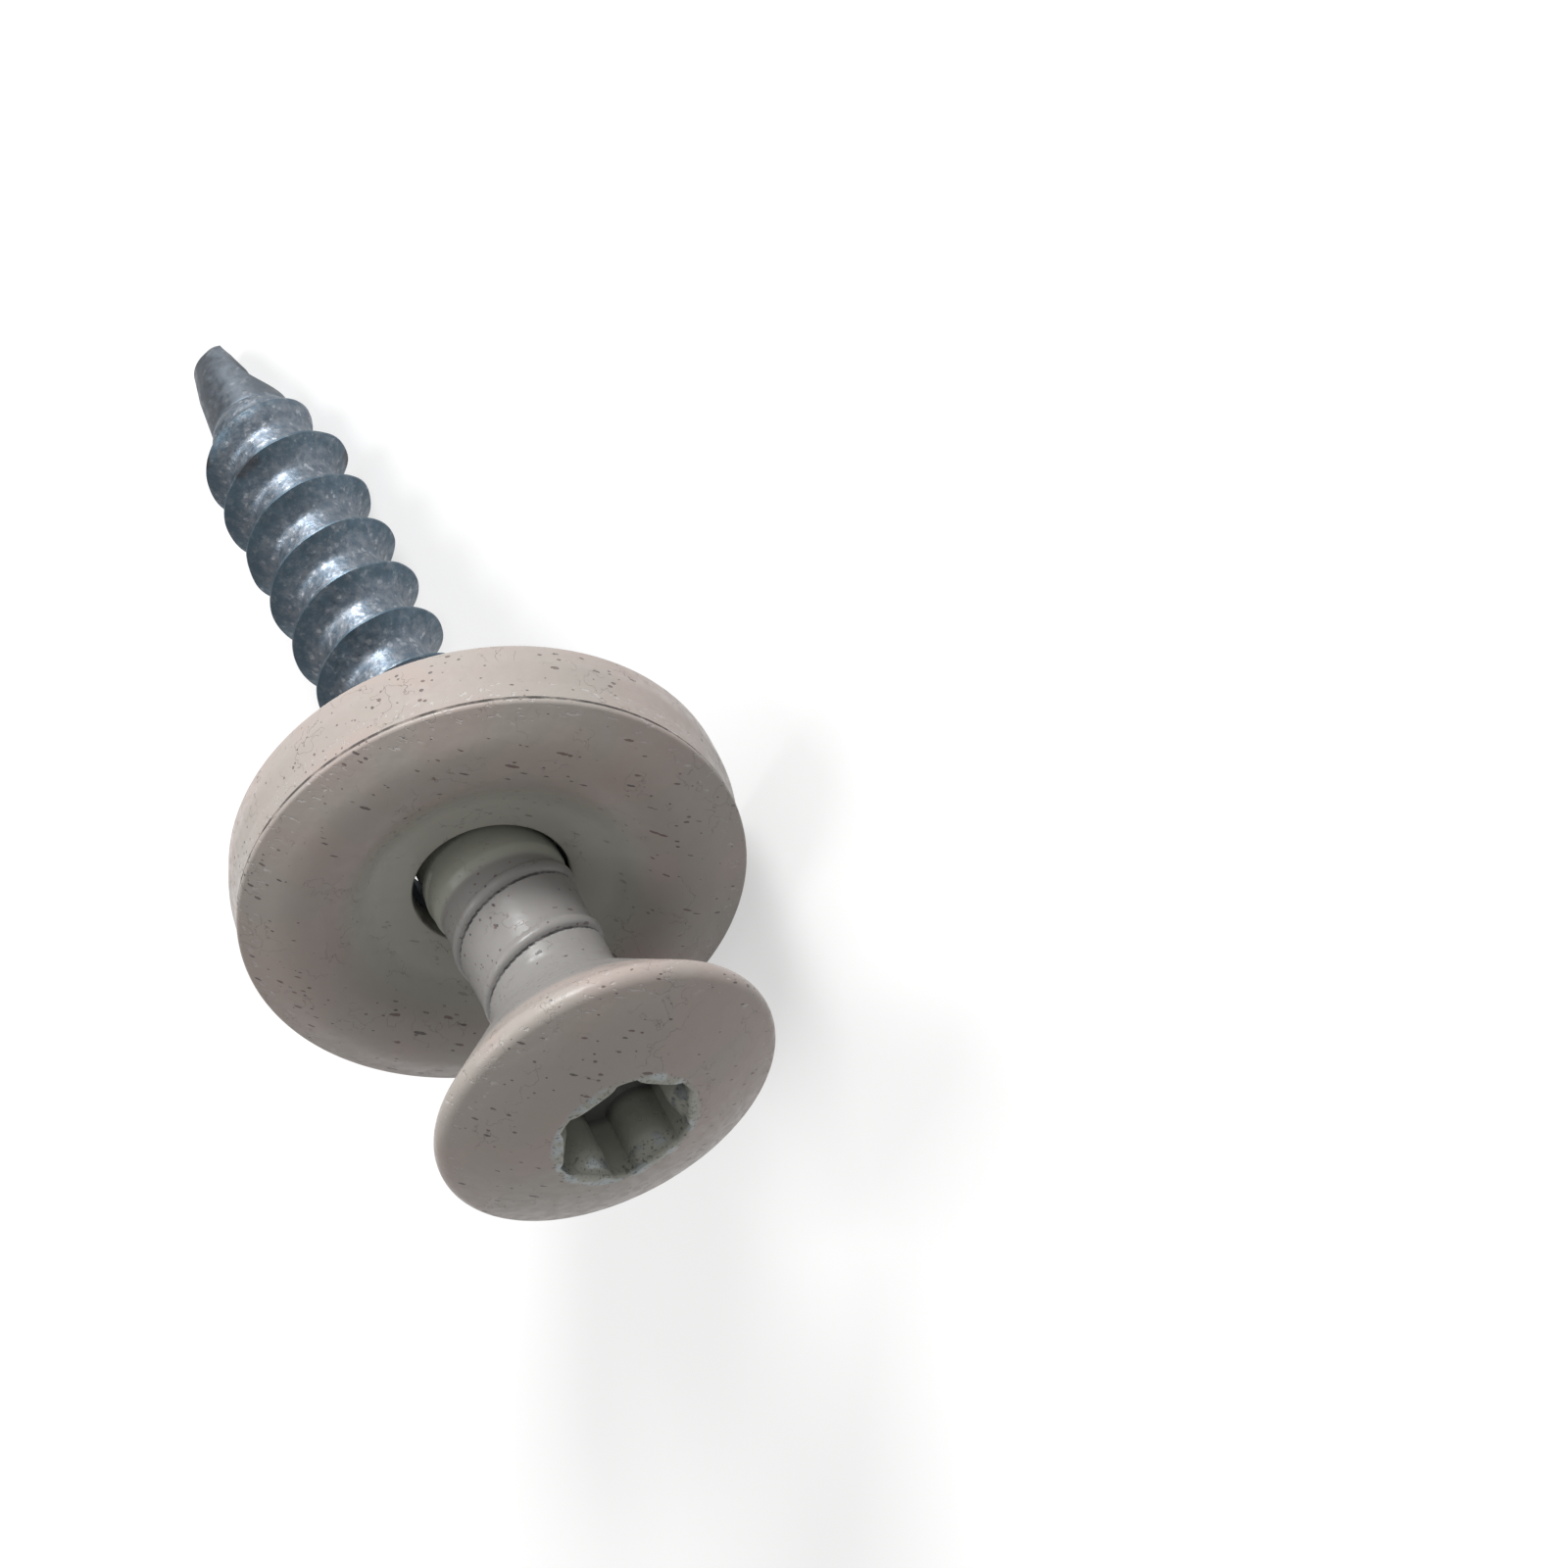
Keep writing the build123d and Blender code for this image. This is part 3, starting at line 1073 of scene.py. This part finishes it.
@dataclass(frozen=True)
class PowderPaint:
    """Pale powder coat with brown specks, hair scratches, scuffs that also serve as painted glints, a
    slight orange peel, and tones of painted shade in hollows and on the neck.
    """

    colour: Colour = (0.33, 0.300, 0.275, 1)
    rosy: Colour = (0.345, 0.293, 0.270, 1)
    # shaded: painted shade, a greener and lighter tone that stands in for how light falls in the dish, the
    # drive recess and on the collar
    shaded: Colour = (0.37, 0.362, 0.323, 1)
    # pale: painted shade, a darker neutral tone that stands in for how light falls on the neck
    pale: Colour = (0.225, 0.217, 0.21, 1)
    speck: Colour = (0.085, 0.045, 0.038, 1)
    dark_speck: Colour = (0.02, 0.02, 0.024, 1)
    # scuff: pale flecks, partly real scuffs and partly painted glints along the rims and the crease
    scuff_and_glint: Colour = (0.62, 0.62, 0.62, 1)
    specks: tuple[SpeckLayer, ...] = (
        SpeckLayer((0.4, 0.9, 0.2), (0.3, 1.4, 1), 2.7, 0.16),
        SpeckLayer((1.3, 0.2, 1.1), (0.32, 1.3, 1), 3.2, 0.18),
        SpeckLayer((2.2, 1.7, 0.6), (0.6, 1.2, 1), 4.2, 0.17),
        SpeckLayer((0.9, 2.4, 1.9), (0.45, 1, 1), 1.3, 0.085),
    )

    def lay_on(
        self, board: NodeBoard, shaded_share: object, scuff_and_glint_share: object, pale_share: object = 0.0
    ) -> Layer:
        """Adds the paint's nodes.

        Args:
            board: The material.
            shaded_share: Where the paint gets its painted shade, a greener and lighter tone standing in for
                how light falls in hollows, and fewer specks.
            scuff_and_glint_share: Where it is scuffed; its pale flecks also stand in for glints along the
                lit edges, a painted highlight.
            pale_share: Where it has its darker, more neutral neck tone, a painted shade that stands in for
                how light falls on the neck.

        Returns:
            The paint's layer.
        """
        cloud = board.step(board.noise(0.3, 2), 0.4, 0.62)
        colour = board.blend(cloud, self.rosy, self.colour)
        # Painted shade: the greener tone where shaded_share is set
        colour = board.blend(shaded_share, colour, self.shaded)
        # Painted shade: the darker neutral neck tone where pale_share is set
        colour = board.blend(pale_share, colour, self.pale)
        relief = board.sum("MULTIPLY", board.noise(1.3, 2), 0.9)
        strength = board.between(shaded_share, 0.66, 0.25)
        colour, marks = self.add_specks(board, colour, strength)
        hair = board.sum("ABSOLUTE", board.sum("SUBTRACT", board.noise(1.5, 3), 0.5))
        hair = board.step(hair, 0.0, 0.006, 1.0, 0.0)
        scratch = board.sum("MULTIPLY", hair, board.step(board.noise(0.8, 1), 0.5, 0.62))
        colour = board.blend(board.sum("MULTIPLY", scratch, 0.45), colour, self.speck)
        # Pale flecks: real scuffs that also serve as painted highlight along the rims and the crease
        fleck = board.step(board.noise(5.5, 4, board.turned((0.5, 0.3, 0.8), (0.4, 1.5, 1))), 0.59, 0.68)
        fleck = board.sum("MULTIPLY", fleck, scuff_and_glint_share)
        colour = board.blend(board.sum("MULTIPLY", fleck, 0.26), colour, self.scuff_and_glint)
        relief = board.sum("SUBTRACT", relief, board.sum("MULTIPLY", marks, 0.4))
        relief = board.sum("SUBTRACT", relief, board.sum("MULTIPLY", scratch, 0.3))
        relief = board.sum("SUBTRACT", relief, board.sum("MULTIPLY", fleck, 0.4))
        roughness = board.step(board.noise(3.0, 3), 0.3, 0.7, 0.28, 0.44)
        return Layer(colour, roughness, relief)

    def add_specks(self, board: NodeBoard, colour: object, strength: object) -> tuple[object, Socket]:
        """Scatters small dashes that lie in several directions, and a few larger chips.

        Args:
            board: The material.
            colour: The paint's colour.
            strength: How much of the specks' own colour shows.

        Returns:
            The colour with its specks, and where they are.
        """
        marks = None
        crowd = board.step(board.noise(0.45, 2), 0.38, 0.62, 0.65, 1.35)
        for layer in self.specks:
            far, tint = board.grains(layer.scale, board.turned(layer.turn, layer.stretch))
            chance = board.add("ShaderNodeSeparateColor")
            board.feed(chance, 0, tint)
            size = board.step(chance.outputs[0], 0.4, 1.0, 0.0, layer.largest)
            size = board.sum("MULTIPLY", size, crowd)
            ragged = board.sum("MULTIPLY", board.sum("SUBTRACT", board.noise(9, 2), 0.5), 0.2)
            inside = board.sum("ADD", board.sum("SUBTRACT", size, far), ragged)
            mark = board.step(inside, -0.01, 0.035)
            kind = board.step(chance.outputs[1], 0.55, 0.75)
            stain = board.blend(kind, self.speck, self.dark_speck)
            colour = board.blend(board.sum("MULTIPLY", mark, strength), colour, stain)
            marks = mark if marks is None else board.sum("MAXIMUM", marks, mark)
        return colour, marks


@dataclass(frozen=True)
class ZincPlate:
    """Blue-grey zinc plating: smooth flanks darkened by painted shade, and a brighter grained root and
    drill point, with painted glints on the root.
    """

    # flank: painted shade, the dark blue that stands in for how light falls on the flanks near the crest
    flank_shade: Colour = (0.088, 0.13, 0.165, 1)
    dark: Colour = (0.125, 0.16, 0.2, 1)
    light: Colour = (0.22, 0.24, 0.27, 1)
    # spark: painted glints, bright grains that stand in for small highlights on the root
    spark: Colour = (0.5, 0.53, 0.57, 1)
    point: Colour = (0.115, 0.128, 0.145, 1)
    burnt: Colour = (0.05, 0.035, 0.03, 1)

    def lay_on(self, board: NodeBoard) -> Layer:
        """Adds the zinc's nodes.

        Args:
            board: The material.

        Returns:
            The zinc's layer.
        """
        mottle = board.step(board.noise(3.2, 5, roughness=0.7), 0.36, 0.68)
        far, tint = board.grains(7.5)
        grain = board.add("ShaderNodeSeparateColor")
        board.feed(grain, 0, tint)
        colour = board.blend(mottle, self.dark, self.light)
        # Painted highlight: bright grains scattered through the mottle as glints
        bright = board.sum("MULTIPLY", board.step(grain.outputs[0], 0.82, 0.97), mottle)
        colour = board.blend(board.sum("MULTIPLY", bright, 0.7), colour, self.spark)
        # Painted shade: the flanks near the crest take a darker, smoother blue
        out = board.sum("ADD", board.axis_radius(), board.sum("MULTIPLY", board.noise(2.0, 3), 0.25))
        on_flank = board.step(out, 1.98, 2.3)
        smooth = board.step(mottle, 0.2, 1.0, 0.85, 0.45)
        colour = board.blend(board.sum("MULTIPLY", on_flank, smooth), colour, self.flank_shade)
        on_point = board.step(board.axis_height(), -31.0, -31.3)
        colour = board.blend(board.sum("MULTIPLY", on_point, 0.75), colour, self.point)
        near_point = board.step(board.axis_height(), -24.0, -30.0)
        stain = board.step(board.noise(0.75, 3), 0.55, 0.64)
        stain = board.sum("MULTIPLY", stain, board.sum("MULTIPLY", near_point, board.step(out, 2.15, 2.45)))
        colour = board.blend(board.sum("MULTIPLY", stain, 0.8), colour, self.burnt)
        roughness = board.step(board.noise(3.4, 4), 0.3, 0.7, 0.38, 0.6)
        relief = board.sum("ADD", board.noise(3.6, 5), board.sum("MULTIPLY", far, 0.35))
        plain = board.sum("MULTIPLY", on_flank, 0.6)
        plain = board.sum("MAXIMUM", plain, board.sum("MULTIPLY", on_point, 0.85))
        relief = board.sum("MULTIPLY", board.between(plain, relief, 0.5), 0.6)
        return Layer(colour, roughness, relief)


@dataclass(frozen=True)
class SprayedRubber:
    """Dark blue-grey rubber, speckled with overspray from the painting of its rim."""

    rubber: Colour = (0.04, 0.048, 0.06, 1)
    bloom: Colour = (0.1, 0.115, 0.135, 1)
    spray: Colour = (0.42, 0.42, 0.43, 1)

    def lay_on(self, board: NodeBoard) -> Layer:
        """Adds the rubber's nodes.

        Args:
            board: The material.

        Returns:
            The rubber's layer.
        """
        cloud = board.step(board.noise(0.8, 3), 0.35, 0.65)
        colour = board.blend(cloud, self.rubber, self.bloom)
        density = board.step(board.noise(0.35, 2), 0.3, 0.7, -0.05, 0.06)
        dust = board.step(board.sum("ADD", board.noise(5.5, 4, roughness=0.75), density), 0.5, 0.58)
        deep = board.step(board.axis_radius(), 3.2, 2.8, 1.0, 0.0)
        dust = board.sum("MULTIPLY", dust, deep)
        colour = board.blend(dust, colour, self.spray)
        relief = board.sum("ADD", board.noise(4.0, 3), board.sum("MULTIPLY", dust, 0.5))
        return Layer(colour, board.between(dust, 0.75, 0.55), relief)


class Finishes:
    """The materials of the three pieces."""

    mouth_radii = (1.75, 2.42)
    mouth_heights = (0.95, 1.56)
    ridge_heights = (-8.1, -4.4)
    # Heights of the neck's painted shade tone
    pale_heights = (-8.0, -1.6)
    paint_edge = (-10.55, -10.35)
    crease_heights = (2.62, 2.74)
    hole_radii = (2.3, 2.5)
    rubber_edge = (7.35, 7.5)
    # Dark line colour: painted shade along the washer's crease, at its hole and in the groove by the
    # supporting thread; real cracks and chip edges in the paint elsewhere
    crack_and_shade_line = (0.028, 0.026, 0.028, 1)
    bare_chip = (0.3, 0.33, 0.34, 1)
    # Painted shade: a greener tone on the drive recess walls and on the collar, and a dark floor deep in
    # the recess
    recess_and_collar_shade = (0.33, 0.34, 0.295, 1)
    recess_floor_shade = (0.13, 0.13, 0.125, 1)

    def __init__(self, screw: Seat, washer: Seat, neck: RoofingScrew) -> None:
        """Keeps where the pieces are laid and the sizes that the patterns follow.

        Args:
            screw: The screw's seat.
            washer: The washer's seat.
            neck: The screw, for the route of its supporting thread.
        """
        self.screw = screw
        self.washer = washer
        self.neck = neck

    def band(self, board: NodeBoard, value: object, low: float, high: float, soft: float) -> Socket:
        """Returns 1 where a value lies between two limits, with soft edges."""
        above = board.step(value, low - soft, low)
        below = board.step(value, high, high + soft, 1.0, 0.0)
        return board.sum("MULTIPLY", above, below)

    def ridge_groove_shade(self, board: NodeBoard) -> Socket:
        """Returns 1 in the groove beside the supporting thread, where the paint gets a painted shade line.
        """
        place = board.add("ShaderNodeSeparateXYZ")
        board.feed(place, 0, board.place)
        turn = board.sum("DIVIDE", board.sum("ARCTAN2", place.outputs["Y"], place.outputs["X"]), FULL_TURN)
        crest = board.sum("ADD", board.sum("MULTIPLY", turn, self.neck.ridge_pitch), -self.neck.ridge_low)
        above = board.sum("SUBTRACT", place.outputs["Z"], crest)
        above = board.sum("FLOORED_MODULO", above, self.neck.ridge_pitch)
        bead = self.neck.bead_width
        line = self.band(board, above, bead + 0.02, bead + 0.07, 0.03)
        on_neck = self.band(board, place.outputs["Z"], *self.ridge_heights, 0.2)
        return board.sum("MULTIPLY", line, on_neck)

    def broken(self, board: NodeBoard, share: object, least: float) -> Socket:
        """Breaks a line up unevenly.

        Args:
            board: The material.
            share: The line.
            least: The share of it that stays everywhere.

        Returns:
            The broken line.
        """
        patch = board.step(board.noise(1.6, 3), 0.38, 0.6, least, 1.0)
        return board.sum("MULTIPLY", share, patch)

    def painted_screw(self) -> bpy.types.Material:
        """Paint on the head and neck, bare zinc below, with a ragged sprayed edge between."""
        board = NodeBoard("zinc_and_paint", self.screw)
        radius = board.axis_radius()
        height = board.axis_height()
        in_recess = board.step(height, 0.2, 1.3, 1.0, 0.75)
        in_recess = board.sum("MULTIPLY", in_recess, board.step(radius, 2.45, 2.25))
        in_recess = board.sum("MULTIPLY", in_recess, board.step(height, -2.0, -1.5))
        # on_neck: where the neck gets its painted shade tone
        on_neck = self.band(board, height, *self.pale_heights, 0.7)
        # rim: where the pale scuff flecks and their painted glints go
        rim = self.band(board, radius, 5.05, 5.6, 0.3)
        # Painted shade on the collar inside the washer's hole
        on_collar = board.sum("MULTIPLY", board.step(height, -8.0, -8.3), board.step(radius, 2.6, 2.4))
        shaded = board.sum("MAXIMUM", in_recess, on_collar)
        paint = PowderPaint().lay_on(board, shaded, rim, on_neck)
        # Painted shade: greener recess walls and collar, and a darkened recess floor
        wall_and_collar_shade = board.sum("MULTIPLY", in_recess, board.step(height, -0.8, -0.3))
        wall_and_collar_shade = board.sum("MAXIMUM", wall_and_collar_shade, on_collar)
        deep = board.sum("MULTIPLY", in_recess, board.step(height, -0.3, -0.8))
        colour = board.blend(board.sum("MULTIPLY", wall_and_collar_shade, 0.9), paint.colour, self.recess_and_collar_shade)
        colour = board.blend(deep, colour, self.recess_floor_shade)
        # Painted shade: a broken dark line in the groove beside the supporting thread
        groove_shade = self.broken(board, self.ridge_groove_shade(board), 0.45)
        colour = board.blend(board.sum("MULTIPLY", groove_shade, 0.85), colour, self.crack_and_shade_line)
        mouth = self.band(board, radius, *self.mouth_radii, 0.1)
        mouth = board.sum("MULTIPLY", mouth, self.band(board, height, *self.mouth_heights, 0.06))
        chipped = board.sum("MULTIPLY", mouth, board.step(board.noise(1.4, 4), 0.48, 0.56))
        outline = board.sum("MULTIPLY", mouth, board.step(board.noise(8.0, 3), 0.56, 0.64))
        colour = board.blend(board.sum("MULTIPLY", chipped, 0.8), colour, self.bare_chip)
        colour = board.blend(board.sum("MULTIPLY", outline, 0.5), colour, self.crack_and_shade_line)
        zinc = ZincPlate().lay_on(board)
        edge = board.sum("ADD", height, board.sum("MULTIPLY", board.noise(5.0, 3), 0.9))
        share = board.step(edge, *self.paint_edge)
        board.feed(board.shader, "Base Color", board.blend(share, zinc.colour, colour))
        board.feed(board.shader, "Roughness", board.between(share, zinc.roughness, paint.roughness))
        unchipped = board.sum("SUBTRACT", 1.0, board.sum("MULTIPLY", chipped, 0.5))
        painted = board.sum("MULTIPLY", share, unchipped)
        board.feed(board.shader, "Metallic", board.sum("SUBTRACT", 1.0, painted))
        board.relief(board.between(share, zinc.relief, paint.relief), 0.03)
        return board.material

    def washer_paint(self) -> bpy.types.Material:
        """Paint all over the pressed washer, with painted shade as broken dark lines along its crease and
        at the hole.
        """
        board = NodeBoard("washer_paint", self.washer)
        radius = board.axis_radius()
        height = board.axis_height()
        # Painted shade: the dish takes the paint's greener, lighter shade tone, which stands in for how
        # light falls there
        in_dish = board.step(radius, 5.2, 4.2)
        paint = PowderPaint().lay_on(board, in_dish, self.band(board, radius, 7.6, 8.2, 0.3))
        # Painted shade: broken dark lines in the crease groove and at the hole's edge
        crease = self.band(board, height, *self.crease_heights, 0.03)
        crease = board.sum("MULTIPLY", crease, board.step(radius, 7.8, 7.85))
        hole = self.band(board, radius, *self.hole_radii, 0.04)
        line = board.sum("MAXIMUM", self.broken(board, crease, 0.05), self.broken(board, hole, 0.4))
        colour = board.blend(board.sum("MULTIPLY", line, 0.7), paint.colour, self.crack_and_shade_line)
        board.feed(board.shader, "Base Color", colour)
        board.feed(board.shader, "Roughness", paint.roughness)
        board.relief(paint.relief, 0.03)
        return board.material

    def gasket_rubber(self) -> bpy.types.Material:
        """Paint on the gasket's side and lip, a cracked edge, and sprayed rubber inside."""
        board = NodeBoard("gasket_rubber", self.washer)
        paint = PowderPaint().lay_on(board, 0.0, 0.0)
        rubber = SprayedRubber().lay_on(board)
        ragged = board.sum("ADD", board.axis_radius(), board.sum("MULTIPLY", board.noise(3.0, 4), 0.7))
        share = board.step(ragged, *self.rubber_edge)
        crack_and_shade_line = self.broken(board, self.band(board, ragged, 7.36, 7.44, 0.03), 0.3)
        colour = board.blend(share, rubber.colour, paint.colour)
        board.feed(board.shader, "Base Color", board.blend(crack_and_shade_line, colour, self.crack_and_shade_line))
        board.feed(board.shader, "Roughness", board.between(share, rubber.roughness, paint.roughness))
        board.relief(board.between(share, rubber.relief, paint.relief), 0.04)
        return board.material


@dataclass(frozen=True)
class SoftLamp:
    """A square lamp that faces the screw.

    Its bearing is given as shares of the picture's right, up and towards the camera, its
    distance and width in metres and its power in watts.
    """

    name: str
    bearing: Triple
    distance: float
    width: float
    power: float


@dataclass
class Studio:
    """Plain pale floor, soft lamps and the camera."""

    camera_place: Triple = (65.326, 77.603, 99.381)
    camera_right: Triple = (0.61183, 0.43695, -0.65935)
    camera_up: Triple = (-0.67609, 0.72155, -0.14919)
    focal_length: float = 98.0
    floor_width: float = 3.0
    floor_lift: float = 0.52
    floor_colour: Colour = (0.45, 0.45, 0.45, 1)
    sky_colour: Colour = (1.0, 0.995, 0.985, 1)
    sky_strength: float = 0.48
    target: Triple = (0.0, 0.0, 7.0)
    lamps: tuple[SoftLamp, ...] = (
        SoftLamp("key_lamp", (-0.30, 0.82, 0.49), 0.45, 0.14, 2.3),
        SoftLamp("side_lamp", (-0.85, 0.15, 0.5), 0.5, 0.2, 0.9),
    )

    def build(self) -> None:
        """Sets up the floor, the lamps, the surroundings and the camera."""
        self.lay_floor()
        self.surround()
        for lamp in self.lamps:
            self.hang_lamp(lamp)
        self.place_camera()
        bpy.context.scene.view_settings.view_transform = "Standard"

    def lay_floor(self) -> None:
        """Lays the pale floor at the ground."""
        deselect_everything()
        bpy.ops.mesh.primitive_plane_add(size=self.floor_width)
        floor = name_new_piece("floor")
        material = bpy.data.materials.new("pale_floor")
        material.use_nodes = True
        shader = material.node_tree.nodes["Principled BSDF"]
        shader.inputs["Base Color"].default_value = self.floor_colour
        shader.inputs["Roughness"].default_value = 0.9
        shader.inputs["Specular IOR Level"].default_value = 0.1
        nodes = material.node_tree.nodes
        links = material.node_tree.links
        seen = nodes.new("ShaderNodeLightPath")
        glow = nodes.new("ShaderNodeMath")
        glow.operation = "MAXIMUM"
        glow_through = nodes.new("ShaderNodeMath")
        glow_through.operation = "MAXIMUM"
        lift = nodes.new("ShaderNodeMath")
        lift.operation = "MULTIPLY"
        lift.inputs[1].default_value = self.floor_lift
        links.new(seen.outputs["Is Camera Ray"], glow.inputs[0])
        links.new(seen.outputs["Is Glossy Ray"], glow.inputs[1])
        links.new(glow.outputs[0], glow_through.inputs[0])
        links.new(seen.outputs["Is Transmission Ray"], glow_through.inputs[1])
        links.new(glow_through.outputs[0], lift.inputs[0])
        links.new(lift.outputs[0], shader.inputs["Emission Strength"])
        shader.inputs["Emission Color"].default_value = (1, 1, 1, 1)
        floor.data.materials.append(material)

    def surround(self) -> None:
        """Gives the surroundings a plain pale light."""
        world = bpy.data.worlds.new("surroundings")
        bpy.context.scene.world = world
        world.use_nodes = True
        background = world.node_tree.nodes["Background"]
        background.inputs["Color"].default_value = self.sky_colour
        background.inputs["Strength"].default_value = self.sky_strength

    def hang_lamp(self, lamp: SoftLamp) -> None:
        """Hangs one lamp.

        Args:
            lamp: The lamp's place, width and power.
        """
        right = Vector(self.camera_right)
        up = Vector(self.camera_up)
        back = right.cross(up)
        bearing = lamp.bearing
        away = (right * bearing[0] + up * bearing[1] + back * bearing[2]).normalized()
        light = bpy.data.lights.new(lamp.name, "AREA")
        light.size = lamp.width
        light.energy = lamp.power
        hung = bpy.data.objects.new(lamp.name, light)
        bpy.context.scene.collection.objects.link(hung)
        hung.location = Vector(self.target) * MM + away * lamp.distance
        hung.rotation_mode = "QUATERNION"
        hung.rotation_quaternion = away.to_track_quat("Z", "Y")

    def place_camera(self) -> None:
        """Places the camera at the photograph's viewing angle."""
        right = Vector(self.camera_right)
        up = Vector(self.camera_up)
        turn = Matrix((right, up, right.cross(up))).transposed()
        data = bpy.data.cameras.new("camera")
        data.sensor_width = 36
        data.lens = self.focal_length
        data.clip_start = 0.01
        data.clip_end = 10
        camera = bpy.data.objects.new("camera", data)
        bpy.context.scene.collection.objects.link(camera)
        camera.matrix_world = Matrix.Translation(Vector(self.camera_place) * MM) @ turn.to_4x4()
        bpy.context.scene.camera = camera


def main() -> None:
    """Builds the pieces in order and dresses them."""
    logging.basicConfig(level=logging.INFO)
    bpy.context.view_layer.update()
    band_outer = SealingWasher.diameter / 2 - SealingWasher.gasket_inset
    band_middle = band_outer - SealingWasher.band_width / 2
    screw_seat, washer_seat = seats_from_record(frame["record"], RoofingScrew.dome_height, band_middle)
    screw = RoofingScrew(screw_seat, SixLobeRecess())
    finishes = Finishes(screw_seat, washer_seat, screw)
    body = screw.build()
    body.data.materials.append(finishes.painted_screw())
    log.info("%s: %d faces", body.name, len(body.data.polygons))
    washer = SealingWasher(washer_seat, screw_seat)
    metal = washer.build_metal()
    metal.data.materials.append(finishes.washer_paint())
    log.info("%s: %d faces", metal.name, len(metal.data.polygons))
    gasket = washer.build_gasket()
    gasket.data.materials.append(finishes.gasket_rubber())
    log.info("%s: %d faces", gasket.name, len(gasket.data.polygons))
    Studio().build()


if __name__ == "__main__":
    main()
